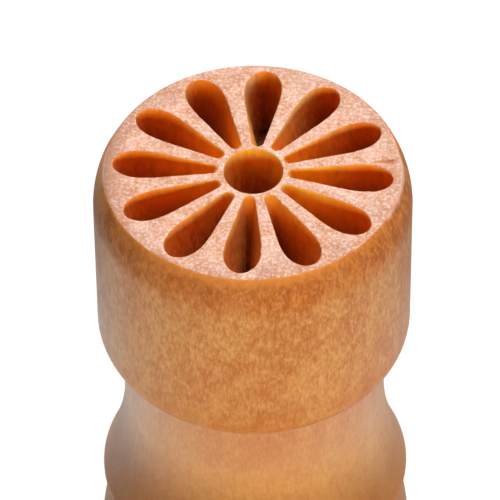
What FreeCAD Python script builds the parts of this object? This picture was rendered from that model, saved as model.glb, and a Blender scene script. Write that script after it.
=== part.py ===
import FreeCAD, Part
import math
import os
from FreeCAD import Vector

# Hand stamp turned from pale hardwood, in millimetres.
# The tool stands on its flat butt at z = 0, and +Z points to the stamping face.

TOTAL_HEIGHT = 55.0

# Head: a crisp face edge, a shoulder arc, a slightly tapered drum and a rounded lower edge.
HEAD_RADIUS = 12.7
FACE_RADIUS = 11.78
SHOULDER_DEPTH = 3.6
DRUM_DEPTH = 15.9
DRUM_FOOT_RADIUS = 12.62
LOWER_EDGE_RADIUS = 3.0

# Pattern cut into the stamping face: a ring of petals around a round centre.
PETAL_COUNT = 12
PATTERN_DEPTH = 6.0
WALL_DRAFT_DEG = 8.0
PETAL_CENTRE = 9.05
PETAL_END_LENGTH = 2.07
PETAL_HALF_WIDTH = 1.48
PETAL_FLANK_RADIUS = 8.5
PETAL_TAPER = 0.205
PETAL_TIP_RADIUS = 0.485
PETAL_FLOOR_TIP_RADIUS = 0.1
CENTRE_HOLE_RADIUS = 2.42

# Handle: a straight neck, a long cove out to a thin rim, a groove and a rounded knob.
NECK_RADIUS = 10.57
NECK_END_DEPTH = 24.3
COVE_RADIUS = 24.7
RIM_DEPTH = 33.7
RIM_EDGE_RADIUS = 0.7
RIM_UNDERCUT_DEG = 70.0
GROOVE_RADIUS = 11.4
GROOVE_DEPTH = 35.9
KNOB_RADIUS = 12.85
KNOB_DEPTH = 45.5
BUTT_RADIUS = 9.2

# Dowel that carries the glue joint between head and handle.
DOWEL_RADIUS = 4.0
DOWEL_LENGTH = 20.0
DOWEL_CHAMFER = 0.6
DOWEL_IN_HEAD = 9.5
SOCKET_CLEARANCE = 0.05
SOCKET_END_GAP = 0.5

# The joint lies where the head's rounded lower edge has come in to the neck's radius.
LOWER_EDGE_CENTRE = DRUM_FOOT_RADIUS - LOWER_EDGE_RADIUS
LOWER_EDGE_TURN = math.acos((NECK_RADIUS - LOWER_EDGE_CENTRE) / LOWER_EDGE_RADIUS)
JOINT_DEPTH = DRUM_DEPTH + LOWER_EDGE_RADIUS * math.sin(LOWER_EDGE_TURN)
JOINT_Z = TOTAL_HEIGHT - JOINT_DEPTH

AXIS = Vector(0, 0, 1)
ORIGIN = Vector(0, 0, 0)


def section_point(radius, depth):
    """Point of the turned section: radius from the axis, depth below the face."""
    return Vector(radius, 0, TOTAL_HEIGHT - depth)


def line(start, end):
    return Part.LineSegment(start, end).toShape()


def arc(start, middle, end):
    return Part.Arc(start, middle, end).toShape()


def ellipse_arc(major_end, minor_end, centre, first, last):
    """Part of an ellipse; the angle runs from its major end to its minor end."""
    ellipse = Part.Ellipse(major_end, minor_end, centre)
    return Part.ArcOfEllipse(ellipse, first, last).toShape()


def turned(edges):
    """Solid of revolution about the tool's axis."""
    face = Part.Face(Part.Wire(edges))
    return face.revolve(ORIGIN, AXIS, 360)


def head_blank():
    """Drum of the head, from the joint up to the stamping face."""
    face_centre = section_point(0, 0)
    face_edge = section_point(FACE_RADIUS, 0)

    # The shoulder is a circular arc that runs smoothly into the drum.
    shoulder_width = HEAD_RADIUS - FACE_RADIUS
    shoulder_radius = (shoulder_width**2 + SHOULDER_DEPTH**2) / (2 * shoulder_width)
    half_shoulder = math.asin(SHOULDER_DEPTH / shoulder_radius) / 2
    shoulder_middle = section_point(
        HEAD_RADIUS - shoulder_radius * (1 - math.cos(half_shoulder)),
        SHOULDER_DEPTH - shoulder_radius * math.sin(half_shoulder),
    )
    shoulder_end = section_point(HEAD_RADIUS, SHOULDER_DEPTH)
    drum_end = section_point(DRUM_FOOT_RADIUS, DRUM_DEPTH)

    half_turn = LOWER_EDGE_TURN / 2
    edge_middle = section_point(
        LOWER_EDGE_CENTRE + LOWER_EDGE_RADIUS * math.cos(half_turn),
        DRUM_DEPTH + LOWER_EDGE_RADIUS * math.sin(half_turn),
    )
    joint_edge = section_point(NECK_RADIUS, JOINT_DEPTH)
    joint_centre = section_point(0, JOINT_DEPTH)

    return turned([
        line(face_centre, face_edge),
        arc(face_edge, shoulder_middle, shoulder_end),
        line(shoulder_end, drum_end),
        arc(drum_end, edge_middle, joint_edge),
        line(joint_edge, joint_centre),
        line(joint_centre, face_centre),
    ])


def petal_wire(inset, tip_radius, z):
    """Outline of one petal along +X, drawn in by inset: an elliptical outer end,
    curved flanks, a straight taper and a small round tip near the centre."""
    end_length = PETAL_END_LENGTH - inset
    half_width = PETAL_HALF_WIDTH - inset
    flank_radius = PETAL_FLANK_RADIUS - inset
    taper_angle = math.atan(PETAL_TAPER)

    centre = Vector(PETAL_CENTRE, 0, z)
    outer_end = Vector(PETAL_CENTRE + end_length, 0, z)
    widest = Vector(PETAL_CENTRE, half_width, z)

    def flank_point(angle):
        x = PETAL_CENTRE - flank_radius * math.sin(angle)
        y = half_width - flank_radius * (1 - math.cos(angle))
        return Vector(x, y, z)

    flank_middle = flank_point(taper_angle / 2)
    flank_end = flank_point(taper_angle)

    # The tip circle's centre is where the straight taper is one tip radius away.
    tip_height = tip_radius / math.cos(taper_angle)
    tip_centre = flank_end.x - (flank_end.y - tip_height) / PETAL_TAPER
    tip_start = Vector(
        tip_centre - tip_radius * math.sin(taper_angle),
        tip_radius * math.cos(taper_angle),
        z,
    )
    tip = Vector(tip_centre - tip_radius, 0, z)

    def mirrored(point):
        return Vector(point.x, -point.y, z)

    return Part.Wire([
        ellipse_arc(outer_end, widest, centre, -math.pi / 2, math.pi / 2),
        arc(widest, flank_middle, flank_end),
        line(flank_end, tip_start),
        arc(tip_start, tip, mirrored(tip_start)),
        line(mirrored(tip_start), mirrored(flank_end)),
        arc(mirrored(flank_end), mirrored(flank_middle), mirrored(widest)),
    ])


def petal_cutter():
    """One drafted petal, from the stamping face down to the floor of the pattern."""
    inset = PATTERN_DEPTH * math.tan(math.radians(WALL_DRAFT_DEG))
    rim = petal_wire(0, PETAL_TIP_RADIUS, TOTAL_HEIGHT)
    floor = petal_wire(inset, PETAL_FLOOR_TIP_RADIUS, TOTAL_HEIGHT - PATTERN_DEPTH)
    return Part.makeLoft([floor, rim], True, True)


def centre_cutter():
    """Drafted round recess in the middle of the pattern."""
    inset = PATTERN_DEPTH * math.tan(math.radians(WALL_DRAFT_DEG))
    floor = section_point(0, PATTERN_DEPTH)
    return Part.makeCone(CENTRE_HOLE_RADIUS - inset, CENTRE_HOLE_RADIUS, PATTERN_DEPTH, floor)


def socket(start_z, end_z):
    """Blind hole for the dowel, between two heights on the axis."""
    radius = DOWEL_RADIUS + SOCKET_CLEARANCE
    return Part.makeCylinder(radius, end_z - start_z, Vector(0, 0, start_z))


def stamp_head():
    cutters = [centre_cutter()]
    petal = petal_cutter()
    for index in range(PETAL_COUNT):
        turned_petal = petal.copy()
        turned_petal.rotate(ORIGIN, AXIS, index * 360 / PETAL_COUNT)
        cutters.append(turned_petal)
    socket_end = JOINT_Z + DOWEL_IN_HEAD + SOCKET_END_GAP
    cutters.append(socket(JOINT_Z, socket_end))
    return head_blank().cut(cutters)


def rim_edges(cove_end, cove_angle):
    """Rounded edge of the rim, from the end of the cove round to its undercut."""
    undercut_angle = math.radians(RIM_UNDERCUT_DEG)

    def edge_point(angle):
        radius = cove_end.x + RIM_EDGE_RADIUS * (math.cos(angle) - math.cos(cove_angle))
        drop = RIM_EDGE_RADIUS * (math.sin(cove_angle) - math.sin(angle))
        return Vector(radius, 0, cove_end.z - drop)

    middle = edge_point((cove_angle - undercut_angle) / 2)
    end = edge_point(-undercut_angle)
    groove = section_point(GROOVE_RADIUS, GROOVE_DEPTH)
    return [arc(cove_end, middle, end), line(end, groove)]


def handle():
    joint_centre = section_point(0, JOINT_DEPTH)
    joint_edge = section_point(NECK_RADIUS, JOINT_DEPTH)
    neck_end = section_point(NECK_RADIUS, NECK_END_DEPTH)

    cove_angle = math.asin((RIM_DEPTH - NECK_END_DEPTH) / COVE_RADIUS)

    def cove_point(angle):
        radius = NECK_RADIUS + COVE_RADIUS * (1 - math.cos(angle))
        return section_point(radius, NECK_END_DEPTH + COVE_RADIUS * math.sin(angle))

    cove_end = cove_point(cove_angle)

    groove = section_point(GROOVE_RADIUS, GROOVE_DEPTH)
    knob_top_centre = section_point(GROOVE_RADIUS, KNOB_DEPTH)
    knob_widest = section_point(KNOB_RADIUS, KNOB_DEPTH)
    knob_bottom_centre = section_point(BUTT_RADIUS, KNOB_DEPTH)
    butt_edge = section_point(BUTT_RADIUS, TOTAL_HEIGHT)
    butt_centre = section_point(0, TOTAL_HEIGHT)

    edges = [
        line(joint_centre, joint_edge),
        line(joint_edge, neck_end),
        arc(neck_end, cove_point(cove_angle / 2), cove_end),
    ]
    edges += rim_edges(cove_end, cove_angle)
    edges += [
        ellipse_arc(groove, knob_widest, knob_top_centre, 0, math.pi / 2),
        ellipse_arc(butt_edge, knob_widest, knob_bottom_centre, 0, math.pi / 2),
        line(butt_edge, butt_centre),
        line(butt_centre, joint_centre),
    ]
    dowel_bottom = JOINT_Z + DOWEL_IN_HEAD - DOWEL_LENGTH
    return turned(edges).cut(socket(dowel_bottom - SOCKET_END_GAP, JOINT_Z))


def joining_dowel():
    bottom = Vector(0, 0, JOINT_Z + DOWEL_IN_HEAD - DOWEL_LENGTH)
    rod = Part.makeCylinder(DOWEL_RADIUS, DOWEL_LENGTH, bottom)
    ends = [edge for edge in rod.Edges if edge.Curve.TypeId == "Part::GeomCircle"]
    return rod.makeChamfer(DOWEL_CHAMFER, ends)


def main():
    os.makedirs("parts", exist_ok=True)
    pieces = {
        "stamp_head": stamp_head(),
        "handle": handle(),
        "joining_dowel": joining_dowel(),
    }
    for name, shape in pieces.items():
        shape.exportStep(f"parts/{name}.step")


main()
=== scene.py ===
import itertools
import math

import bmesh
import bpy
import numpy as np
from mathutils import Matrix, Vector
from mathutils.geometry import delaunay_2d_cdt


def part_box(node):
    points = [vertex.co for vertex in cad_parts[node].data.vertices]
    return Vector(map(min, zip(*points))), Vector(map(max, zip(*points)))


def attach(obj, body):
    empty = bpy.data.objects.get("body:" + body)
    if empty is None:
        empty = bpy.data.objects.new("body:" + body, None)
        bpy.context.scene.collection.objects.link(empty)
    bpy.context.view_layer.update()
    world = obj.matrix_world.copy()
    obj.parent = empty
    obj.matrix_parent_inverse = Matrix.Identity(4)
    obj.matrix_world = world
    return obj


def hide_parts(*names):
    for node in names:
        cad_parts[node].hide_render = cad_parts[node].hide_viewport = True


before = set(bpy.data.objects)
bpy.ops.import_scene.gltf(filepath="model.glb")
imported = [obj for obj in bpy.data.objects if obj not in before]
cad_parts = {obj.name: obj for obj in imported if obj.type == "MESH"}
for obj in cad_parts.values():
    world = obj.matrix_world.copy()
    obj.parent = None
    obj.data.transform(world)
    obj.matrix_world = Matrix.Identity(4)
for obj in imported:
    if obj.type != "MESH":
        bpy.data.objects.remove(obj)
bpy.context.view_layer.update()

# ---------------------------------------------------------------- sizes from the frame

head_low, head_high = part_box("stamp_head")
handle_low, handle_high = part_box("handle")
dowel_low, dowel_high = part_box("joining_dowel")

FACE_Z = head_high.z
HEAD_RADIUS = 12.7
MM = (head_high.x - head_low.x) / 2 / HEAD_RADIUS  # one millimetre of the design

TOTAL_HEIGHT = (FACE_Z - handle_low.z) / MM
JOINT_DEPTH = (FACE_Z - head_low.z) / MM
KNOB_RADIUS = (handle_high.x - handle_low.x) / 2 / MM
DOWEL_RADIUS = (dowel_high.x - dowel_low.x) / 2 / MM
DOWEL_TOP = (FACE_Z - dowel_high.z) / MM
DOWEL_BOTTOM = (FACE_Z - dowel_low.z) / MM

# The rest of the design, in millimetres. Depths are measured down from the stamping face.
FACE_RADIUS = 11.78
SHOULDER_DEPTH = 3.6
DRUM_DEPTH = 15.9
DRUM_FOOT_RADIUS = 12.62
LOWER_EDGE_RADIUS = 3.0

PETAL_COUNT = 12
PATTERN_DEPTH = 6.0
WALL_DRAFT_DEG = 8.0
PETAL_CENTRE = 9.05
PETAL_END_LENGTH = 2.07
PETAL_HALF_WIDTH = 1.48
PETAL_FLANK_RADIUS = 8.5
PETAL_TAPER = 0.205
PETAL_TIP_RADIUS = 0.485
PETAL_FLOOR_TIP_RADIUS = 0.1
CENTRE_HOLE_RADIUS = 2.42

NECK_RADIUS = 10.57
NECK_END_DEPTH = 24.3
COVE_RADIUS = 24.7
RIM_DEPTH = 33.7
RIM_EDGE_RADIUS = 0.7
RIM_UNDERCUT_DEG = 70.0
GROOVE_RADIUS = 11.4
GROOVE_DEPTH = 35.9
KNOB_DEPTH = 45.5
BUTT_RADIUS = 9.2

SOCKET_RADIUS = DOWEL_RADIUS + 0.05
SOCKET_END_GAP = 0.5
DOWEL_CHAMFER = 0.6
FLUTE_COUNT = 18
FLUTE_DEPTH = 0.16

# ---------------------------------------------------------------- wear and hand work

SEED = 20
RECESS_SEED = SEED + 40
RECESS_SEED_STEP = 7

# Lengths are in millimetres, as above.
FACE_SKIN = 0.04  # the worn face lies this far below the sharp design
ARRIS = 0.09  # width of the blunted edge round the face
FIBRE_RELIEF = 0.006
FIBRE_CELL = (0.4, 0.4, 3.0)
WAVE_RELIEF = 0.02
WAVE_CELL = (5.0, 5.0, 6.0)
FACE_RELIEF = 0.011

# The edge of the face is worn all round, and the most towards one side.
EVEN_WEAR = 0.02
SIDE_WEAR = 0.26
SIDE_WEAR_DEG = 170
WEAR_START_RADIUS = 10.7
WEAR_WIDTH = 1.4
WEAR_DEPTH = 1.3

# Each petal was cut a little off its place: along itself, sideways and in its width.
PETAL_FAULTS = (0.05, 0.035, 0.015)
PETAL_STRETCH = (0.05, 0.17)  # its inner end was cut longer, by between these
SLANTED_PETAL = 3  # the cutter was held at a slant in this one
RIM_SLANT = 0.1125
FLOOR_SLANT = 0.8625
HOLE_STRETCH = (0.975, 1.02)
HOLE_SHIFT = (0.05, 0)

# The lip of each recess: distance into it, drop, and share of the burrs.
RECESS_LIP = ((-0.10, 0.0, 0.0), (-0.045, 0.012, 0.5), (-0.012, 0.04, 1.0), (0.0, 0.09, 0.9))
RAGGEDNESS = 0.014
BURR_COUNT = (2, 5)
BURR_HEIGHT = (0.04, 0.09)
BURR_WIDTH = (0.07, 0.16)
BURR_DEPTHS = (0.17, 0.3, 0.5)  # the burrs fade out over these depths
FLOOR_SHARES = (0.12, 0.45, 0.75, 1.0)  # rings of the floor, from its edge to its middle

# Marks in the face near its edge: start, end, half width at the end, depth.
GOUGES = (
    ((9.70, 1.88), (11.60, 2.05), 0.46, 0.10),
    ((10.15, -2.35), (11.15, -3.80), 0.11, 0.10),
    ((9.85, -1.95), (10.55, -3.05), 0.07, 0.07),
    ((10.25, -1.15), (11.20, -1.75), 0.05, 0.05),
    ((9.20, 5.30), (10.30, 5.00), 0.05, 0.05),
)
WIDE_GOUGE = 0.2  # a gouge wider than this shows the colour of the side, and has a raised lip
LIP_HEIGHT = 0.03
LIP_OFFSET = 0.06
LIP_WIDTH = 0.07
DARK_SHARE = 0.25  # that colour starts this far inside it
GOUGE_START_WIDTH = 0.25  # share of a gouge's width where it starts
GOUGE_START_DEPTH = 0.4  # share of its depth there

COLUMNS = 480  # points round each turned surface
HOLE_COLUMNS = 96
DOWEL_COLUMNS = 144
FACE_STEP = 0.2  # between the points spread over the face
WELD = 1e-4  # points this close are one

# Material slots of the head. The handle has the first two.
SIDE, END_GRAIN, RECESS = range(3)


# ---------------------------------------------------------------- mesh building

def smooth_noise(points, cell, seed):
    """Smooth noise from -1 to 1 at the points, with features about one cell long."""
    side = 32
    table = np.random.default_rng(seed).uniform(-1, 1, (side, side, side))
    scaled = points / np.asarray(cell, float)
    base = np.floor(scaled).astype(int)
    share = scaled - base
    share = share * share * (3 - 2 * share)
    total = np.zeros(len(points))
    for corner in itertools.product((0, 1), repeat=3):
        weight = np.prod(np.where(corner, share, 1 - share), axis=1)
        index = (base + corner) % side
        total += weight * table[index[:, 0], index[:, 1], index[:, 2]]
    return total


class MeshParts:
    """Collects strips of rings and triangles, and welds them into one mesh."""

    def __init__(self):
        self.points = []
        self.faces = []
        self.slots = []
        self.count = 0

    def add(self, points, faces, slots):
        self.points.append(points)
        self.faces += [tuple(corner + self.count for corner in face) for face in faces]
        self.slots += slots
        self.count += len(points)

    def add_rings(self, rings, slots):
        """Closed rings of equally many points, joined in order; slots holds one per strip."""
        size = len(rings[0])
        faces = []
        strip_slots = []
        for row in range(len(rings) - 1):
            start = row * size
            for column in range(size):
                after = (column + 1) % size
                faces.append((
                    start + column,
                    start + size + column,
                    start + size + after,
                    start + after,
                ))
                strip_slots.append(slots[row])
        self.add(np.concatenate(rings), faces, strip_slots)

    def build(self, name, materials):
        points = np.concatenate(self.points) * MM
        points[:, 2] += FACE_Z
        mesh = bpy.data.meshes.new(name)
        mesh.from_pydata(points.tolist(), [], self.faces)
        for material in materials:
            mesh.materials.append(material)
        mesh.polygons.foreach_set("material_index", self.slots)
        mesh.polygons.foreach_set("use_smooth", [True] * len(mesh.polygons))
        work = bmesh.new()
        work.from_mesh(mesh)
        bmesh.ops.remove_doubles(work, verts=work.verts, dist=WELD * MM)
        bmesh.ops.recalc_face_normals(work, faces=work.faces)
        work.to_mesh(mesh)
        work.free()
        piece = bpy.data.objects.new(name, mesh)
        bpy.context.scene.collection.objects.link(piece)
        return piece


def spaced(start, end, step):
    """Values from start to end, both included, about one step apart."""
    return np.linspace(start, end, max(2, round(abs(end - start) / step) + 1))


def angles_round(count):
    return np.arange(count) * (2 * math.pi / count)


def ring(radius, depth, columns=COLUMNS):
    angle = angles_round(columns)
    return np.column_stack([
        radius * np.cos(angle),
        radius * np.sin(angle),
        np.full(columns, -depth),
    ])


def circle_points(centre, radius, angles):
    """(radius, depth) pairs on a circle of the turned section; angle 0 faces outwards,
    and positive angles turn downwards."""
    return [(centre[0] + radius * math.cos(a), centre[1] + radius * math.sin(a)) for a in angles]


def turned_rings(profile):
    return [ring(radius, depth) for radius, depth in profile]


def side_relief(points):
    """Long-grain fibres raised on a turned surface, and its slight unevenness."""
    fibres = smooth_noise(points, FIBRE_CELL, SEED)
    waves = smooth_noise(points, WAVE_CELL, SEED + 1)
    depth = FIBRE_RELIEF * (1 + fibres) + WAVE_RELIEF * (1 + waves)
    outward = points[:, :2] / np.linalg.norm(points[:, :2], axis=1, keepdims=True)
    return np.column_stack([-outward * depth[:, None], np.zeros(len(points))])


def grained_rings(profile):
    return [points + side_relief(points) for points in turned_rings(profile)]


def socket_profile(mouth_radius, mouth_depth, end_depth):
    """Section from a joint face's edge, across it and along its socket to the axis."""
    profile = [(radius, mouth_depth) for radius in spaced(mouth_radius, SOCKET_RADIUS, 0.8)[1:]]
    profile += [(SOCKET_RADIUS, depth) for depth in spaced(mouth_depth, end_depth, 1.0)[1:]]
    profile += [(radius, end_depth) for radius in spaced(SOCKET_RADIUS, 0, 1.0)[1:]]
    return profile


def edge_wear(points):
    """How far the edge of the face is worn down."""
    angle = np.arctan2(points[:, 1], points[:, 0])
    towards = 0.5 + 0.5 * np.cos(angle - math.radians(SIDE_WEAR_DEG))
    amount = EVEN_WEAR + SIDE_WEAR * towards**3
    radius = np.hypot(points[:, 0], points[:, 1])
    share = np.clip((radius - WEAR_START_RADIUS) / WEAR_WIDTH, 0, 1)
    fade = np.clip(1 + points[:, 2] / WEAR_DEPTH, 0, 1)
    return amount * share**2 * fade


# ---------------------------------------------------------------- recesses of the pattern

def petal_loop(inset, tip_radius):
    """Closed outline of one petal along +X, drawn in by inset: outer end, flank, taper and
    inner tip, then their mirror. It has the same number of points for every inset."""
    end_length = PETAL_END_LENGTH - inset
    half_width = PETAL_HALF_WIDTH - inset
    flank_radius = PETAL_FLANK_RADIUS - inset
    taper_angle = math.atan(PETAL_TAPER)

    end_points, flank_points, taper_points, tip_points = 22, 9, 24, 9

    turn = np.linspace(0, math.pi / 2, end_points)
    end_x = PETAL_CENTRE + end_length * np.cos(turn)
    end_y = half_width * np.sin(turn)

    turn = np.linspace(0, taper_angle, flank_points)[1:]
    flank_x = PETAL_CENTRE - flank_radius * np.sin(turn)
    flank_y = half_width - flank_radius * (1 - np.cos(turn))

    # The tip circle's centre is where the straight taper is one tip radius away.
    tip_height = tip_radius / math.cos(taper_angle)
    tip_centre = flank_x[-1] - (flank_y[-1] - tip_height) / PETAL_TAPER
    turn = np.linspace(math.pi / 2 + taper_angle, math.pi, tip_points)
    tip_x = tip_centre + tip_radius * np.cos(turn)
    tip_y = tip_radius * np.sin(turn)

    share = np.linspace(0, 1, taper_points)[1:-1]
    taper_x = flank_x[-1] + (tip_x[0] - flank_x[-1]) * share
    taper_y = flank_y[-1] + (tip_y[0] - flank_y[-1]) * share

    x = np.concatenate([end_x, flank_x, taper_x, tip_x])
    y = np.concatenate([end_y, flank_y, taper_y, tip_y])
    return np.column_stack([
        np.concatenate([x, x[-2:0:-1]]),
        np.concatenate([y, -y[-2:0:-1]]),
    ])


def hole_loop(inset, _tip_radius):
    angle = angles_round(HOLE_COLUMNS)
    radius = CENTRE_HOLE_RADIUS - inset
    return np.column_stack([radius * np.cos(angle), radius * np.sin(angle)])


def rim_burrs(loop, seed):
    """How far each point of a rim is pushed into its recess: a fine raggedness everywhere
    and a few torn fibres."""
    random = np.random.default_rng(seed)
    start = np.column_stack([loop, np.zeros(len(loop))])
    push = RAGGEDNESS * smooth_noise(start, 0.3, seed + 1)
    step = np.linalg.norm(np.roll(loop, -1, axis=0) - loop, axis=1)
    along = np.concatenate([[0], np.cumsum(step)[:-1]])
    length = step.sum()
    for _ in range(random.integers(*BURR_COUNT)):
        gap = np.abs(along - random.uniform(0, length))
        gap = np.minimum(gap, length - gap)
        height = random.uniform(*BURR_HEIGHT)
        push += height * np.exp(-((gap / random.uniform(*BURR_WIDTH)) ** 2))
    return push


def fade_in(values, start, end):
    """0 up to the start and 1 from the end on."""
    return np.clip((values - start) / (end - start), 0, 1)


def cut_by_hand(rim, floor, seed, slanted):
    """Outlines of a petal's rim and floor with the faults of hand work."""
    random = np.random.default_rng(seed)
    slide, sway, widening = random.uniform(-1, 1, 3) * PETAL_FAULTS
    shift = np.column_stack([
        np.full(len(rim), slide),
        sway + widening * np.sign(rim[:, 1]) * np.minimum(np.abs(rim[:, 1]), 1),
    ])
    rim = rim + shift
    floor = floor + shift
    stretch = random.uniform(*PETAL_STRETCH)
    for loop in (rim, floor):
        loop[:, 0] -= stretch * fade_in(loop[:, 0], 6.0, 3.0)
    if slanted:
        rim[:, 1] -= RIM_SLANT * fade_in(rim[:, 0], 8.0, 4.0)
        floor[:, 1] -= FLOOR_SLANT * fade_in(floor[:, 0], 9.0, 5.0)
    return rim, floor


def recess(loop_at, tip_radius, floor_tip_radius, seed, turn_deg, slanted):
    """Rings of one recess, from just outside its rim down its walls and across its floor.
    Returns the rings and their strips' material slots."""
    floor_inset = PATTERN_DEPTH * math.tan(math.radians(WALL_DRAFT_DEG))
    rim = loop_at(0, tip_radius)
    floor = loop_at(floor_inset, floor_tip_radius)
    small = 0.02
    inward = loop_at(small, max(tip_radius - small, 0)) - rim
    inward /= np.linalg.norm(inward, axis=1, keepdims=True)
    push = rim_burrs(rim, seed)[:, None]

    if loop_at is petal_loop:
        rim, floor = cut_by_hand(rim, floor, seed + 3, slanted)
        middle = np.column_stack([floor[:, 0], np.zeros(len(floor))])
    else:
        rim = rim * HOLE_STRETCH + HOLE_SHIFT
        floor = floor * HOLE_STRETCH + HOLE_SHIFT
        middle = np.zeros_like(floor) + floor.mean(axis=0)

    flat = []
    for offset, drop, share in RECESS_LIP:
        flat.append((rim + inward * (offset + push * share), FACE_SKIN + drop))
    for depth in BURR_DEPTHS:
        burrs = inward * push * (BURR_DEPTHS[-1] - depth)
        flat.append((rim + (floor - rim) * (depth / PATTERN_DEPTH) + burrs, depth))
    wall_step, wall_end, floor_edge = 0.6, PATTERN_DEPTH - 0.25, PATTERN_DEPTH - 0.06
    for depth in spaced(BURR_DEPTHS[-1], wall_end, wall_step)[1:]:
        flat.append((rim + (floor - rim) * depth / PATTERN_DEPTH, depth))
    flat.append((rim + (floor - rim) * 0.99, floor_edge))
    for share in FLOOR_SHARES:
        flat.append((floor + (middle - floor) * share, PATTERN_DEPTH))

    turn = math.radians(turn_deg)
    rotation = np.array([[math.cos(turn), math.sin(turn)], [-math.sin(turn), math.cos(turn)]])
    rings = [
        np.column_stack([loop @ rotation, np.full(len(loop), -depth)]) for loop, depth in flat
    ]
    slots = [END_GRAIN] * 2 + [RECESS] * (len(rings) - 3)
    return rings, slots


# ---------------------------------------------------------------- face of the head

def gouge_frame(start, end):
    """Start, length, direction and side direction of a gouge."""
    start, end = np.array(start), np.array(end)
    reach = np.linalg.norm(end - start)
    direction = (end - start) / reach
    return start, reach, direction, np.array([-direction[1], direction[0]])


def gouge_drop(points):
    """Depth of the gouges at points of the face, and how far inside the wide one each point
    is, from 0 at its edge to 1 at its middle line. A gouge opens out from its start."""
    drop = np.zeros(len(points))
    inside = np.zeros(len(points))
    for first, last, half_width, depth in GOUGES:
        start, reach, direction, sideways = gouge_frame(first, last)
        along = (points - start) @ direction
        side = (points - start) @ sideways
        share = np.clip(along / reach, 0, 1)
        width = half_width * (GOUGE_START_WIDTH + (1 - GOUGE_START_WIDTH) * share)
        beyond = along - share * reach
        here = np.clip(1 - (side / width) ** 2 - (beyond / half_width) ** 2, 0, 1)
        deepening = GOUGE_START_DEPTH + (1 - GOUGE_START_DEPTH) * share
        drop = np.maximum(drop, depth * here * deepening)
        if half_width > WIDE_GOUGE:
            inside = np.maximum(inside, here)
            lip = np.exp(-(((side + width + LIP_OFFSET) / LIP_WIDTH) ** 2))
            drop -= LIP_HEIGHT * lip * (share > 0) * (beyond < 0.05)
    return drop, inside


def gouge_points(random):
    """Close-set points over each gouge, so that it keeps its edges."""
    per_square_mm = 900
    length_span, width_span = (-0.1, 1.05), (-1.6, 1.6)
    scattered = []
    for first, last, half_width, _ in GOUGES:
        start, reach, direction, sideways = gouge_frame(first, last)
        count = int(reach * half_width * per_square_mm)
        along = random.uniform(*length_span, count)[:, None] * reach
        side = random.uniform(*width_span, count)[:, None] * half_width
        scattered.append(start + along * direction + side * sideways)
    return np.concatenate(scattered)


def inside_loop(points, loop, margin):
    """Whether each point is inside a closed loop, or within margin of its corners."""
    result = np.zeros(len(points), bool)
    low, high = loop.min(axis=0) - margin, loop.max(axis=0) + margin
    near = np.where(((points > low) & (points < high)).all(axis=1))[0]
    if not len(near):
        return result
    x, y = points[near, 0][:, None], points[near, 1][:, None]
    x0, y0 = loop[:, 0], loop[:, 1]
    x1, y1 = np.roll(x0, -1), np.roll(y0, -1)
    rise = np.where(y1 == y0, 1e-12, y1 - y0)
    crosses = ((y0 > y) != (y1 > y)) & (x < (x1 - x0) * (y - y0) / rise + x0)
    inside = crosses.sum(axis=1) % 2 == 1
    if margin:
        inside |= np.hypot(x - x0, y - y0).min(axis=1) < margin
    result[near] = inside
    return result


def face_grid(openings):
    """Points spread over the face, clear of its edge and of the rings round its recesses."""
    edge_margin, recess_margin, jitter = 0.22, 0.1, 0.3 * FACE_STEP
    random = np.random.default_rng(SEED + 5)
    axis = np.arange(-FACE_RADIUS, FACE_RADIUS, FACE_STEP)
    grid = np.array([
        (x + (FACE_STEP / 2 if row % 2 else 0), y) for row, y in enumerate(axis) for x in axis
    ])
    grid += random.uniform(-jitter, jitter, grid.shape)
    grid = np.concatenate([grid, gouge_points(random)])
    keep = np.hypot(grid[:, 0], grid[:, 1]) < FACE_RADIUS - edge_margin
    for opening in openings:
        keep &= ~inside_loop(grid, opening, recess_margin)
    return grid[keep]


def face_sheet(outer, openings):
    """Triangles of the stamping face, between its outer ring and the rings round its
    recesses. Returns points, faces and the faces' material slots."""
    outer = outer[:, :2]
    openings = [opening[:, :2] for opening in openings]
    loops = [outer] + openings
    points = np.concatenate(loops + [face_grid(openings)])
    edges = []
    start = 0
    for loop in loops:
        size = len(loop)
        edges += [(start + i, start + (i + 1) % size) for i in range(size)]
        start += size
    made = delaunay_2d_cdt([Vector(p) for p in points.tolist()], edges, [], 0, 1e-7)
    made_points, _, made_faces, point_sources = made[:4]
    flat = np.array([tuple(p) for p in made_points])
    faces = np.array(made_faces)
    middle = flat[faces].mean(axis=1)
    keep = np.hypot(middle[:, 0], middle[:, 1]) < FACE_RADIUS
    for opening in openings:
        keep &= ~inside_loop(middle, opening, 0)
    faces = faces[keep]

    # Points on the rings stay where they are, so that the sheet meets the rings.
    on_loop = np.array([bool(sources) and min(sources) < start for sources in point_sources])
    solid = np.column_stack([flat, np.full(len(flat), -FACE_SKIN)])
    fine = smooth_noise(solid, 0.24, SEED + 6)
    coarse = smooth_noise(solid, 0.6, SEED + 7)
    grain = fine + 0.8 * coarse
    drop, _ = gouge_drop(flat)
    worn = edge_wear(solid)
    solid[:, 2] += np.where(on_loop, 0, FACE_RELIEF * grain - drop) - worn
    _, inside = gouge_drop(flat[faces].mean(axis=1))
    slots = np.where(inside > DARK_SHARE, SIDE, END_GRAIN)
    return solid, faces.tolist(), slots.tolist()


# ---------------------------------------------------------------- head

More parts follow.
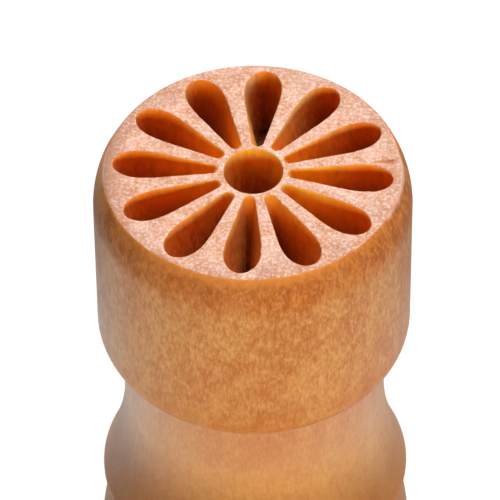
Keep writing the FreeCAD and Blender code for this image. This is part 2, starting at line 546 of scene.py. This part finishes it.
def head_profile():
    """Section of the head from the arris of its face down to the joint."""
    shoulder_width = HEAD_RADIUS - FACE_RADIUS
    shoulder_radius = (shoulder_width**2 + SHOULDER_DEPTH**2) / (2 * shoulder_width)
    shoulder_turn = math.asin(SHOULDER_DEPTH / shoulder_radius)
    arris_turn = 0.015  # angle of the shoulder's arc that the arris takes away
    shoulder_step, drum_step, edge_step = 0.02, 0.25, 0.055
    centre = (HEAD_RADIUS - shoulder_radius, SHOULDER_DEPTH)

    profile = [(FACE_RADIUS - ARRIS, FACE_SKIN), (FACE_RADIUS - 0.3 * ARRIS, FACE_SKIN + 0.02)]
    shoulder_turns = spaced(arris_turn - shoulder_turn, 0, shoulder_step)
    profile += circle_points(centre, shoulder_radius, shoulder_turns)
    for depth in spaced(SHOULDER_DEPTH, DRUM_DEPTH, drum_step)[1:]:
        share = (depth - SHOULDER_DEPTH) / (DRUM_DEPTH - SHOULDER_DEPTH)
        profile.append((HEAD_RADIUS + (DRUM_FOOT_RADIUS - HEAD_RADIUS) * share, depth))
    edge_centre = (DRUM_FOOT_RADIUS - LOWER_EDGE_RADIUS, DRUM_DEPTH)
    edge_turn = math.acos((NECK_RADIUS - edge_centre[0]) / LOWER_EDGE_RADIUS)
    edge_turns = spaced(0, edge_turn, edge_step)[1:]
    profile += circle_points(edge_centre, LOWER_EDGE_RADIUS, edge_turns)
    return profile


def build_head(materials):
    parts = MeshParts()
    profile = head_profile()
    rings = grained_rings(profile)
    rings += turned_rings(socket_profile(NECK_RADIUS, JOINT_DEPTH, DOWEL_TOP - SOCKET_END_GAP))
    rings[0] = ring(*profile[0])
    for points in rings:
        points[:, 2] -= edge_wear(points)
    parts.add_rings(rings, [END_GRAIN] + [SIDE] * (len(rings) - 2))

    recesses = [
        (petal_loop, PETAL_TIP_RADIUS, PETAL_FLOOR_TIP_RADIUS, 360 / PETAL_COUNT * index)
        for index in range(PETAL_COUNT)
    ]
    recesses.append((hole_loop, 0, 0, 0))
    openings = []
    for index, (loop_at, tip_radius, floor_tip_radius, turn_deg) in enumerate(recesses):
        seed = RECESS_SEED + RECESS_SEED_STEP * index
        slanted = index == SLANTED_PETAL
        walls, slots = recess(loop_at, tip_radius, floor_tip_radius, seed, turn_deg, slanted)
        for points in walls:
            points[:, 2] -= edge_wear(points)
        parts.add_rings(walls, slots)
        openings.append(walls[0])
    parts.add(*face_sheet(rings[0], openings))
    return parts.build("stamp_head_turned", materials)


# ---------------------------------------------------------------- handle and dowel

def handle_profile():
    """Section of the handle from the joint down to the edge of its butt."""
    neck_step, cove_step, rim_step, knob_step = 0.3, 0.25 / COVE_RADIUS, 0.16, 0.04
    neck = spaced(JOINT_DEPTH, NECK_END_DEPTH, neck_step)
    profile = [(NECK_RADIUS, depth) for depth in neck]
    cove_turn = math.asin((RIM_DEPTH - NECK_END_DEPTH) / COVE_RADIUS)
    for turn in spaced(0, cove_turn, cove_step)[1:]:
        radius = NECK_RADIUS + COVE_RADIUS * (1 - math.cos(turn))
        profile.append((radius, NECK_END_DEPTH + COVE_RADIUS * math.sin(turn)))

    rim_radius, rim_depth = profile[-1]
    undercut = math.radians(RIM_UNDERCUT_DEG)
    for turn in spaced(cove_turn, -undercut, rim_step)[1:]:
        profile.append((
            rim_radius + RIM_EDGE_RADIUS * (math.cos(turn) - math.cos(cove_turn)),
            rim_depth + RIM_EDGE_RADIUS * (math.sin(cove_turn) - math.sin(turn)),
        ))

    under_radius, under_depth = profile[-1]
    for share in np.linspace(0, 1, 6)[1:]:
        profile.append((
            under_radius + (GROOVE_RADIUS - under_radius) * share,
            under_depth + (GROOVE_DEPTH - under_depth) * share,
        ))
    quarter_turn = spaced(0, math.pi / 2, knob_step)[1:]
    for turn in quarter_turn:
        profile.append((
            GROOVE_RADIUS + (KNOB_RADIUS - GROOVE_RADIUS) * math.sin(turn),
            KNOB_DEPTH - (KNOB_DEPTH - GROOVE_DEPTH) * math.cos(turn),
        ))
    for turn in quarter_turn:
        profile.append((
            BUTT_RADIUS + (KNOB_RADIUS - BUTT_RADIUS) * math.cos(turn),
            KNOB_DEPTH + (TOTAL_HEIGHT - KNOB_DEPTH) * math.sin(turn),
        ))
    return profile


def build_handle(materials):
    parts = MeshParts()
    side = grained_rings(handle_profile())
    side[-1] = ring(BUTT_RADIUS, TOTAL_HEIGHT)
    top = socket_profile(NECK_RADIUS, JOINT_DEPTH, DOWEL_BOTTOM + SOCKET_END_GAP)
    rings = turned_rings(top[::-1]) + side
    butt = [ring(radius, TOTAL_HEIGHT) for radius in spaced(BUTT_RADIUS, 0, 0.7)[1:]]
    parts.add_rings(rings + butt, [SIDE] * (len(rings) - 1) + [END_GRAIN] * len(butt))
    return parts.build("handle_turned", materials)


def build_dowel(materials):
    """Fluted dowel rod with chamfered ends."""
    parts = MeshParts()
    flute = np.clip(np.cos(FLUTE_COUNT * angles_round(DOWEL_COLUMNS)), 0, 1) ** 2
    end_radii = (0, 1.2, 2.4, DOWEL_RADIUS - DOWEL_CHAMFER)
    rod = spaced(DOWEL_TOP + DOWEL_CHAMFER, DOWEL_BOTTOM - DOWEL_CHAMFER, 0.6)
    profile = [(radius, DOWEL_TOP) for radius in end_radii]
    profile += [(DOWEL_RADIUS, depth) for depth in rod]
    profile += [(radius, DOWEL_BOTTOM) for radius in end_radii[::-1]]
    rings = []
    for radius, depth in profile:
        points = ring(radius, depth, DOWEL_COLUMNS)
        if radius == DOWEL_RADIUS:
            points[:, :2] *= (1 - FLUTE_DEPTH * flute / radius)[:, None]
        rings.append(points)
    parts.add_rings(rings, [SIDE] * (len(rings) - 1))
    return parts.build("joining_dowel_fluted", materials)


# ---------------------------------------------------------------- shader nodes

def new_material(name):
    material = bpy.data.materials.new(name)
    material.use_nodes = True
    tree = material.node_tree
    tree.nodes.clear()
    output = tree.nodes.new("ShaderNodeOutputMaterial")
    shader = tree.nodes.new("ShaderNodeBsdfPrincipled")
    tree.links.new(shader.outputs["BSDF"], output.inputs["Surface"])
    return material, tree, shader


def set_input(tree, socket, value):
    """Link a socket to another, or set its value."""
    if isinstance(value, bpy.types.NodeSocket):
        tree.links.new(value, socket)
    else:
        socket.default_value = value


def add(tree, kind, inputs=None, **settings):
    """A shader node with its settings, and its inputs set to values or linked to sockets."""
    node = tree.nodes.new("ShaderNode" + kind)
    for name, value in settings.items():
        setattr(node, name, value)
    for name, value in (inputs or {}).items():
        set_input(tree, node.inputs[name], value)
    return node


def calculate(tree, operation, *values):
    node = add(tree, "Math", operation=operation)
    for index, value in enumerate(values):
        set_input(tree, node.inputs[index], value)
    return node.outputs[0]


def product(tree, first, *factors):
    for factor in factors:
        first = calculate(tree, "MULTIPLY", first, factor)
    return first


def multiply_add(tree, value, factor, added):
    return calculate(tree, "MULTIPLY_ADD", value, factor, added)


def rescale(tree, value, start, end, low, high):
    """A value that goes from low to high, and no further, while the given one goes from
    start to end."""
    return add(tree, "MapRange", {
        "Value": value, "From Min": start, "From Max": end, "To Min": low, "To Max": high,
    }).outputs["Result"]


def ramp(tree, factor, stops, interpolation="LINEAR"):
    node = add(tree, "ValToRGB", {"Fac": factor})
    node.color_ramp.interpolation = interpolation
    elements = node.color_ramp.elements
    while len(elements) < len(stops):
        elements.new(0.5)
    for element, (place, colour) in zip(elements, stops):
        element.position = place
        element.color = (*colour, 1)
    return node.outputs["Color"]


def grey_ramp(tree, factor, stops, interpolation="LINEAR"):
    return ramp(tree, factor, [(place, (v, v, v)) for place, v in stops], interpolation)


def blend(tree, share, first, second, mode="MIX"):
    """Second colour over the first, by a share."""
    node = add(tree, "Mix", data_type="RGBA", blend_type=mode)
    factor_input, first_input, second_input = node.inputs[0], node.inputs[6], node.inputs[7]
    set_input(tree, factor_input, share)
    for socket, colour in ((first_input, first), (second_input, second)):
        set_input(tree, socket, (*colour, 1) if isinstance(colour, tuple) else colour)
    return node.outputs[2]


def object_point(tree):
    return add(tree, "TexCoord").outputs["Object"]


def place_along(tree, axis):
    return add(tree, "SeparateXYZ", {"Vector": object_point(tree)}).outputs[axis]


def along_axis(tree, axis, start, end, low, high):
    """A value that goes from low to high between two places along an axis, in millimetres."""
    return rescale(tree, place_along(tree, axis), start * MM, end * MM, low, high)


def depth_share(tree, start, end):
    """0 at one depth below the stamping face and 1 at another, in millimetres."""
    top, bottom = FACE_Z - start * MM, FACE_Z - end * MM
    return rescale(tree, place_along(tree, "Z"), top, bottom, 0.0, 1.0)


def away_from_axis(tree, start, end, low, high):
    """A value that goes from low to high between two distances from the tool's axis, in
    millimetres."""
    flat = add(tree, "Mapping", {"Vector": object_point(tree), "Scale": (1, 1, 0)})
    away = add(tree, "VectorMath", {"Vector": flat.outputs["Vector"]}, operation="LENGTH")
    return rescale(tree, away.outputs["Value"], start * MM, end * MM, low, high)


def noise(tree, per_mm, detail, roughness, distortion=0.0, shift=0.0):
    """Noise in the object's own space; per_mm is how many features fit in a millimetre
    along X, Y and Z."""
    mapped = add(tree, "Mapping", {
        "Vector": object_point(tree),
        "Scale": [value / MM for value in per_mm],
        "Location": (shift, shift * 0.7, shift * 0.3),
    })
    return add(tree, "TexNoise", {
        "Vector": mapped.outputs["Vector"],
        "Scale": 1.0,
        "Detail": detail,
        "Roughness": roughness,
        "Distortion": distortion,
    }).outputs["Fac"]


def bump(tree, height, strength, distance_mm, normal=None):
    inputs = {"Height": height, "Strength": strength, "Distance": distance_mm * MM}
    if normal is not None:
        inputs["Normal"] = normal
    return add(tree, "Bump", inputs).outputs["Normal"]


def let_light_in(shader, weight, radius, depth_mm=None):
    """Light that enters the wood and comes out again; red goes the furthest."""
    shader.inputs["Subsurface Weight"].default_value = weight
    shader.inputs["Subsurface Radius"].default_value = radius
    if depth_mm:
        shader.inputs["Subsurface Scale"].default_value = depth_mm * MM


# ---------------------------------------------------------------- wood

# Long grain: three tones of its soft figure, then the marks on it from coarse to fine.
FIGURE_TONES = (
    (0.36, (0.60, 0.195, 0.029)),
    (0.50, (0.65, 0.245, 0.043)),
    (0.64, (0.70, 0.310, 0.068)),
)
GOLDEN_HANDLE = (0.74, 0.33, 0.045)
MOTTLE_DARK = (0.55, 0.150, 0.018)
MOTTLE_PALE = (0.74, 0.340, 0.090)
FIBRE_DARK = (0.42, 0.120, 0.016)
FIBRE_PALE = (0.86, 0.42, 0.15)
FLECK_PALE = (0.92, 0.56, 0.30)

OIL_TINT = (0.97, 0.80, 0.85)
OIL_AND_SHADE_DARK = (0.42, 0.118, 0.021)
OIL_GOLDEN = (0.78, 0.30, 0.050)
# Painted shade under the head's rounded lower edge.
UNDERSIDE_SHADE_TINT = (0.92, 0.78, 0.62)
LIT_THROUGH = (0.95, 0.38, 0.07)
RIM_DARK = (0.30, 0.085, 0.014)
RUBBED = (0.88, 0.43, 0.16)
BARE_DARK = (0.62, 0.30, 0.17)
BARE_PALE = (0.96, 0.70, 0.56)

END_GRAIN_TONES = (
    (0.36, (0.68, 0.27, 0.12)),
    (0.48, (0.84, 0.44, 0.28)),
    (0.64, (0.92, 0.58, 0.46)),
)
SOILED = (0.60, 0.27, 0.155)
SPECK_DARK = (0.60, 0.25, 0.13)
SPECK_PALE = (0.99, 0.80, 0.70)
WORN_EDGE = (0.50, 0.23, 0.125)

# Recess walls, from the face down to the floor: a painted glow at the lip, then painted shade
# that grows darker down to the floor.
RECESS_GLOW_AND_SHADE_TONES = (
    (0.0, (0.92, 0.33, 0.035)),
    (0.06, (0.90, 0.25, 0.008)),
    (0.22, (0.88, 0.215, 0.007)),
    (0.36, (0.63, 0.155, 0.007)),
    (0.58, (0.47, 0.120, 0.008)),
    (1.0, (0.20, 0.068, 0.012)),
)
WEB_GLOW = (1.0, 0.48, 0.04)
# Painted light on the recess walls that face the light, and a paler painted highlight on their
# tops.
LIT_WALL_TONE = (0.92, 0.38, 0.095)
WALL_HIGHLIGHT_TONE = (1.0, 0.56, 0.20)
STREAK_DARK = (0.40, 0.09, 0.008)
GRAIN_PALE = (0.95, 0.40, 0.10)


def long_grain(tree):
    """Colour of the turned long grain: soft figure, mottled tone, fine fibres and flecks.
    Returns the colour and the fibres."""
    figure = noise(tree, (0.16, 0.16, 0.05), detail=2, roughness=0.5, distortion=1.2, shift=14.0)
    tone = ramp(tree, figure, FIGURE_TONES)
    figured = grey_ramp(tree, figure, [(0.4, 0.7), (0.6, 0.2)])
    golden = product(tree, depth_share(tree, 20, 26), figured)
    tone = blend(tree, golden, tone, GOLDEN_HANDLE)

    mottle = noise(tree, (1.0, 1.0, 0.7), detail=3, roughness=0.65, distortion=0.5)
    fibres = noise(tree, (4.3, 4.3, 1.5), detail=3, roughness=0.65, distortion=0.2, shift=3.1)
    flecks = noise(tree, (4.5, 4.5, 2.5), detail=2, roughness=0.5, shift=9.4)
    # The marks are crisp on the head and softer further down.
    crisp = grey_ramp(tree, depth_share(tree, 9, 23), [(0.0, 1.0), (1.0, 0.4)])
    for pattern, stops, colour in (
        (mottle, [(0.34, 0.7), (0.5, 0.0)], MOTTLE_DARK),
        (mottle, [(0.5, 0.0), (0.66, 0.7)], MOTTLE_PALE),
        (fibres, [(0.34, 0.55), (0.52, 0.0)], FIBRE_DARK),
        (fibres, [(0.52, 0.0), (0.68, 0.5)], FIBRE_PALE),
        (flecks, [(0.64, 0.0), (0.76, 0.4)], FLECK_PALE),
    ):
        share = product(tree, crisp, grey_ramp(tree, pattern, stops))
        tone = blend(tree, share, tone, colour)
    return tone, fibres


def oiled_and_shaded_shoulder(tree, tone, wander):
    """The cross-cut fibres of the shoulder took up more oil, down to an uneven line. Its darkest
    clumps are also painted shade: full on the sides and back, weaker at the lit front.
    """
    depth = multiply_add(tree, wander, 0.45, depth_share(tree, 0, 5))
    shoulder = grey_ramp(tree, depth, [(0.2, 1.0), (0.72, 1.0), (0.98, 0.0)])
    tone = blend(tree, shoulder, tone, OIL_TINT, "MULTIPLY")
    clumps = noise(tree, (1.9, 1.9, 1.1), detail=3, roughness=0.65, distortion=0.4, shift=27.0)
    # Painted shade: these clumps are weaker towards the front (-Y) and full on the sides and
    # back.
    oil_and_side_shade = product(
        tree,
        shoulder,
        grey_ramp(tree, clumps, [(0.36, 0.8), (0.5, 0.0)]),
        along_axis(tree, "Y", -11, -4, 0.45, 1.0),
    )
    tone = blend(tree, oil_and_side_shade, tone, OIL_AND_SHADE_DARK)
    golden = product(tree, shoulder, grey_ramp(tree, clumps, [(0.52, 0.0), (0.66, 0.7)]))
    return blend(tree, golden, tone, OIL_GOLDEN)


def darker_rim(tree, tone, wander):
    """The rim of the handle is darker, and more so towards -X."""
    depth = multiply_add(tree, place_along(tree, "X"), -0.012 / MM, depth_share(tree, 24, 34))
    depth = multiply_add(tree, wander, 0.3, depth)
    darkening = grey_ramp(tree, depth, [(0.3, 0.0), (0.8, 0.75)])
    return blend(tree, darkening, tone, blend(tree, 0.75, tone, RIM_DARK))


def worn_and_highlit_arris(tree, tone):
    """Bare pale wood shows in patches where the arris is worn, the most at -X. At +X the pale
    band along the arris is a painted highlight. At -X the oiled wood just below is rubbed pale
    as well."""
    patches = noise(tree, (0.4, 0.4, 0.4), detail=2, roughness=0.6, shift=17.0)
    crumbs = noise(tree, (4.0, 4.0, 4.0), detail=2, roughness=0.6, shift=12.0)
    rubbed_edge = along_axis(tree, "X", -10.8, -12.5, 0.0, 0.8)
    # Painted highlight: more pale bare colour along the arris at +X.
    arris_highlight = along_axis(tree, "X", 10.8, 11.8, 0.0, 0.55)

    cover = multiply_add(tree, patches, 0.9, multiply_add(tree, crumbs, 0.4, 0.5))
    across = calculate(tree, "ABSOLUTE", place_along(tree, "X"))
    cover = multiply_add(tree, across, -0.022 / MM, cover)
    cover = multiply_add(tree, depth_share(tree, 0, 4), 4.0, cover)
    cover = calculate(tree, "SUBTRACT", cover, rubbed_edge)
    cover = calculate(tree, "SUBTRACT", cover, arris_highlight)

    fading = grey_ramp(tree, depth_share(tree, 0, 3), [(0.4, 1.0), (1.0, 0.0)])
    tone = blend(tree, product(tree, rubbed_edge, fading), tone, RUBBED)
    bare = grey_ramp(tree, cover, [(0.66, 1.0), (0.92, 0.0)])
    return blend(tree, bare, tone, blend(tree, crumbs, BARE_DARK, BARE_PALE))


def side_material():
    """Turned and oiled sides of the head and the handle."""
    material, tree, shader = new_material("oiled_long_grain")
    tone, fibres = long_grain(tree)
    wander = noise(tree, (0.7, 0.7, 0.3), detail=3, roughness=0.65, shift=21.0)
    tone = oiled_and_shaded_shoulder(tree, tone, wander)
    # The rounded lower edge of the head is painted darker, down to the joint: painted shade
    # where it turns under.
    underside_shade = product(
        tree,
        grey_ramp(tree, depth_share(tree, 13, 18), [(0.1, 0.0), (0.8, 0.6)]),
        grey_ramp(tree, depth_share(tree, 18, 19), [(0.5, 1.0), (0.9, 0.0)]),
    )
    tone = blend(tree, underside_shade, tone, UNDERSIDE_SHADE_TINT, "MULTIPLY")
    # At the front, light soaks through the thin wood just under the face.
    thin = grey_ramp(tree, depth_share(tree, 0, 1.2), [(0.0, 1.0), (1.0, 0.0)], "EASE")
    lit = product(tree, thin, along_axis(tree, "Y", -4, -11, 0.0, 0.6))
    tone = blend(tree, lit, tone, LIT_THROUGH)
    tone = darker_rim(tree, tone, wander)
    tone = worn_and_highlit_arris(tree, tone)
    tree.links.new(tone, shader.inputs["Base Color"])

    fine = noise(tree, (9.0, 9.0, 1.6), detail=2, roughness=0.5, shift=5.5)
    tree.links.new(multiply_add(tree, fine, 0.25, 0.26), shader.inputs["Roughness"])
    # The neck, which no hand wears, keeps the best polish.
    polish = grey_ramp(tree, depth_share(tree, 0, 36), [
        (0.05, 0.2),
        (0.13, 0.34),
        (0.40, 0.34),
        (0.46, 0.2),
        (0.50, 1.0),
        (0.66, 1.0),
        (0.76, 0.5),
        (0.86, 0.2),
    ])
    tree.links.new(polish, shader.inputs["Specular IOR Level"])
    fibrous = bump(tree, fibres, strength=0.4, distance_mm=0.06)
    normal = bump(tree, fine, strength=0.4, distance_mm=0.03, normal=fibrous)
    tree.links.new(normal, shader.inputs["Normal"])
    let_light_in(shader, weight=0.6, radius=(1.0, 0.35, 0.08), depth_mm=1.0)
    return material


def end_grain_material():
    """Pale end grain of the stamping face and the butt, soiled towards its edge."""
    material, tree, shader = new_material("pale_end_grain")
    clouds = noise(tree, (0.7, 0.7, 0.7), detail=4, roughness=0.7, distortion=0.3)
    tone = ramp(tree, clouds, END_GRAIN_TONES)
    margin = calculate(
        tree,
        "ADD",
        away_from_axis(tree, 8.8, 11.8, 0.0, 0.22),
        along_axis(tree, "X", -8.8, -11.5, 0.0, 0.32),
    )
    smudges = noise(
        tree, (0.45, 0.45, 0.45), detail=3, roughness=0.6, distortion=0.3, shift=5.0
    )
    darkening = calculate(tree, "ADD", margin, smudges)
    specks = noise(tree, (3.7, 3.7, 3.7), detail=3, roughness=0.6, shift=2.0)
    for share, colour in (
        (grey_ramp(tree, darkening, [(0.55, 0.0), (0.80, 0.75)]), SOILED),
        (grey_ramp(tree, specks, [(0.34, 0.55), (0.5, 0.0)]), SPECK_DARK),
        (grey_ramp(tree, specks, [(0.5, 0.0), (0.68, 0.65)]), SPECK_PALE),
        (along_axis(tree, "X", -10.3, -11.7, 0.0, 0.8), WORN_EDGE),
    ):
        tone = blend(tree, share, tone, colour)
    tree.links.new(tone, shader.inputs["Base Color"])
    tree.links.new(bump(tree, specks, strength=0.35, distance_mm=0.08), shader.inputs["Normal"])
    shader.inputs["Roughness"].default_value = 0.75
    let_light_in(shader, weight=0.15, radius=(1.0, 0.4, 0.2), depth_mm=0.4)
    return material


def recess_material():
    """Walls and floors of the recesses, browned by the cutter, with a painted glow near the face
    and painted shade that grows darker further down.
    """
    material, tree, shader = new_material("recess_wall_with_painted_shade")
    depth = depth_share(tree, 0, PATTERN_DEPTH)
    # Painted glow at the lip and painted shade deeper down, by depth alone.
    tone = ramp(tree, depth, RECESS_GLOW_AND_SHADE_TONES)

    # Light soaks through the thin webs round the hole, near the face, the most towards +X
    # and +Y.
    glow = product(
        tree,
        away_from_axis(tree, 4.2, 8.8, 1.0, 0.0),
        grey_ramp(tree, depth, [(0.15, 1.0), (0.5, 0.0)]),
        along_axis(tree, "X", -4, 4, 0.65, 1.2),
        along_axis(tree, "Y", -5, -2, 0.15, 1.0),
    )
    tone = blend(tree, glow, tone, WEB_GLOW)
    soak = multiply_add(tree, glow, 1.1 * MM, 0.9 * MM)
    tree.links.new(soak, shader.inputs["Subsurface Scale"])

    # Walls that face +X are painted paler, as painted light falling on them, speckled by the
    # grain, and so are those that face -X at the front. At the back, the top of such a wall gets
    # a paler painted highlight still.
    wall_normal = add(tree, "TexCoord").outputs["Normal"]
    facing = add(tree, "SeparateXYZ", {"Vector": wall_normal}).outputs["X"]
    grain = noise(tree, (3.6, 3.6, 1.6), detail=2, roughness=0.6, shift=8.0)
    lit_front_walls = product(
        tree,
        rescale(tree, facing, -0.3, -0.95, 0.0, 1.2),
        along_axis(tree, "Y", -5.5, -8, 0.0, 1.0),
    )
    # Painted light: this share paints the lit walls paler.
    torn = calculate(tree, "ADD", rescale(tree, facing, 0.3, 0.95, 0.0, 1.1), lit_front_walls)
    torn = product(tree, torn, grey_ramp(tree, grain, [(0.35, 0.35), (0.62, 1.0)]))
    tone = blend(tree, torn, tone, LIT_WALL_TONE)
    # Painted highlight at the top of the lit walls at the back.
    wall_highlight = product(
        tree,
        torn,
        grey_ramp(tree, depth, [(0.1, 1.0), (0.34, 0.0)]),
        along_axis(tree, "Y", 3.5, 5, 0.0, 1.0),
        along_axis(tree, "X", -3.4, -2.4, 0.0, 1.0),
    )
    tone = blend(tree, wall_highlight, tone, WALL_HIGHLIGHT_TONE)

    streaks = noise(tree, (1.6, 1.6, 0.5), detail=3, roughness=0.6, shift=6.0)
    streaked = grey_ramp(tree, streaks, [(0.35, 0.25), (0.55, 0.0)])
    tone = blend(tree, streaked, tone, STREAK_DARK)
    pale = grey_ramp(tree, grain, [(0.48, 0.0), (0.66, 0.2)])
    tone = blend(tree, pale, tone, GRAIN_PALE)
    tree.links.new(tone, shader.inputs["Base Color"])
    streaky = bump(tree, streaks, strength=0.2, distance_mm=0.05)
    grained = bump(tree, grain, strength=0.4, distance_mm=0.05, normal=streaky)
    tree.links.new(grained, shader.inputs["Normal"])
    shader.inputs["Roughness"].default_value = 0.6
    shader.inputs["Specular IOR Level"].default_value = 0.3
    let_light_in(shader, weight=0.7, radius=(1.0, 0.35, 0.05))
    return material


# ---------------------------------------------------------------- stage

FLOOR_SIZE = 6.0  # metres
FLOOR_GAP = 0.05  # millimetres under the butt
FLOOR_WHITE = 0.88  # what the camera sees

# Light that the floor gives to the object, in rings; the last lies at FLOOR_RING_REACH.
FLOOR_RING_REACH = 130  # millimetres from the axis
FLOOR_RINGS = (
    (0.10, 0.15),
    (0.17, 0.32),
    (0.26, 0.95),
    (0.33, 2.2),
    (0.40, 0.90),
    (0.50, 0.54),
    (0.60, 0.48),
    (1.0, 0.15),
)

LIGHT_DISTANCE = 1.5  # metres from the face


def floor_material():
    """White table that gives off soft light. It is clear from below, so that the underside
    can be looked at."""
    material, tree, shader = new_material("pale_floor")
    shader.inputs["Base Color"].default_value = (0.12, 0.12, 0.12, 1)
    shader.inputs["Roughness"].default_value = 0.9
    shader.inputs["Emission Color"].default_value = (1, 1, 1, 1)
    away = add(tree, "VectorMath", {"Vector": object_point(tree)}, operation="LENGTH")
    reach = calculate(tree, "DIVIDE", away.outputs["Value"], FLOOR_RING_REACH * MM)
    glow = product(
        tree,
        grey_ramp(tree, reach, FLOOR_RINGS),
        along_axis(tree, "X", -50, 50, 1.0, 0.78),
        along_axis(tree, "Y", -40, -10, 0.7, 1.0),
        along_axis(tree, "Y", 12, 45, 1.0, 0.35),
    )
    seen = add(tree, "LightPath").outputs["Is Camera Ray"]
    white = calculate(tree, "MULTIPLY", seen, FLOOR_WHITE)
    strength = calculate(tree, "MAXIMUM", white, glow)
    tree.links.new(strength, shader.inputs["Emission Strength"])

    clear = add(tree, "BsdfTransparent")
    mix = add(tree, "MixShader", {"Fac": add(tree, "NewGeometry").outputs["Backfacing"]})
    tree.links.new(shader.outputs["BSDF"], mix.inputs[1])
    tree.links.new(clear.outputs["BSDF"], mix.inputs[2])
    output = next(node for node in tree.nodes if node.type == "OUTPUT_MATERIAL")
    tree.links.new(mix.outputs["Shader"], output.inputs["Surface"])
    return material


def build_floor():
    mesh = bpy.data.meshes.new("floor")
    half = FLOOR_SIZE / 2
    z = handle_low.z - FLOOR_GAP * MM
    corners = [(-half, -half, z), (half, -half, z), (half, half, z), (-half, half, z)]
    mesh.from_pydata(corners, [], [(0, 1, 2, 3)])
    mesh.materials.append(floor_material())
    floor = bpy.data.objects.new("floor", mesh)
    bpy.context.scene.collection.objects.link(floor)


def area_light(name, azimuth, elevation, size, level):
    """Soft oval light aimed at the face of the tool. Azimuth 0 is at -Y and 90 at +X.
    A level of 1 lights a white surface that faces the light to full white."""
    a, e = math.radians(azimuth), math.radians(elevation)
    away = Vector((math.sin(a) * math.cos(e), -math.cos(a) * math.cos(e), math.sin(e)))
    data = bpy.data.lights.new(name, "AREA")
    data.shape = "ELLIPSE"
    data.size, data.size_y = size
    data.energy = level * math.pi**2 * LIGHT_DISTANCE**2
    light = bpy.data.objects.new(name, data)
    light.location = Vector((0, 0, FACE_Z)) + away * LIGHT_DISTANCE
    light.rotation_mode = "QUATERNION"
    light.rotation_quaternion = away.to_track_quat("Z", "Y")
    bpy.context.scene.collection.objects.link(light)
    return light


def build_light():
    """White surroundings behind the object, a dim room for everything that it reflects, and
    three soft lights."""
    room_level = 0.05
    world = bpy.data.worlds.new("studio")
    world.use_nodes = True
    tree = world.node_tree
    background = tree.nodes["Background"]
    background.inputs["Color"].default_value = (1, 1, 1, 1)
    seen = add(tree, "LightPath").outputs["Is Camera Ray"]
    strength = rescale(tree, seen, 0.0, 1.0, room_level, 1.0)
    tree.links.new(strength, background.inputs["Strength"])
    bpy.context.scene.world = world

    area_light("back_low", azimuth=186, elevation=25, size=(0.5, 0.5), level=0.40)
    area_light("back_high", azimuth=168, elevation=64, size=(0.8, 0.8), level=0.90)
    front = area_light("front", azimuth=20, elevation=8, size=(1.4, 0.35), level=0.85)
    front.visible_glossy = False


def build_camera():
    """Long lens, above and slightly to the right of a petal's middle line. The middle of the
    face sits a little to the right of the view's middle line and well above its centre."""
    lens, sensor = 506.45, 36.0
    distance = 555 * MM
    azimuth, elevation, roll = math.radians(5.86), math.radians(46.565), math.radians(-0.5)
    across, above = 0.2107 * MM, 6.2648 * MM

    forward = Vector((0, math.cos(elevation), -math.sin(elevation)))
    up = Vector((0, math.sin(elevation), math.cos(elevation)))
    right = Vector((1, 0, 0))
    tilted_right = right * math.cos(roll) + up * math.sin(roll)
    tilted_up = up * math.cos(roll) - right * math.sin(roll)
    place = -(forward * distance + tilted_right * across + tilted_up * above)

    data = bpy.data.cameras.new("camera")
    data.sensor_width = sensor
    data.lens = lens
    data.clip_start = 0.05
    data.clip_end = 20
    camera = bpy.data.objects.new("camera", data)
    axes = Matrix((tilted_right, tilted_up, -forward)).transposed()
    turn = Matrix.Rotation(azimuth, 4, "Z")
    lift = Matrix.Translation((0, 0, FACE_Z))
    camera.matrix_world = lift @ turn @ Matrix.Translation(place) @ axes.to_4x4()
    bpy.context.scene.collection.objects.link(camera)
    bpy.context.scene.camera = camera


# ---------------------------------------------------------------- assembly

def main():
    build_camera()
    side = side_material()
    end_grain = end_grain_material()
    walls = recess_material()

    head = build_head([side, end_grain, walls])
    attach(head, "root")
    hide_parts("stamp_head")

    handle = build_handle([side, end_grain])
    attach(handle, "root")
    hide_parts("handle")

    dowel = build_dowel([side])
    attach(dowel, "root")
    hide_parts("joining_dowel")

    build_floor()
    build_light()
    bpy.context.scene.view_settings.view_transform = "Standard"


main()
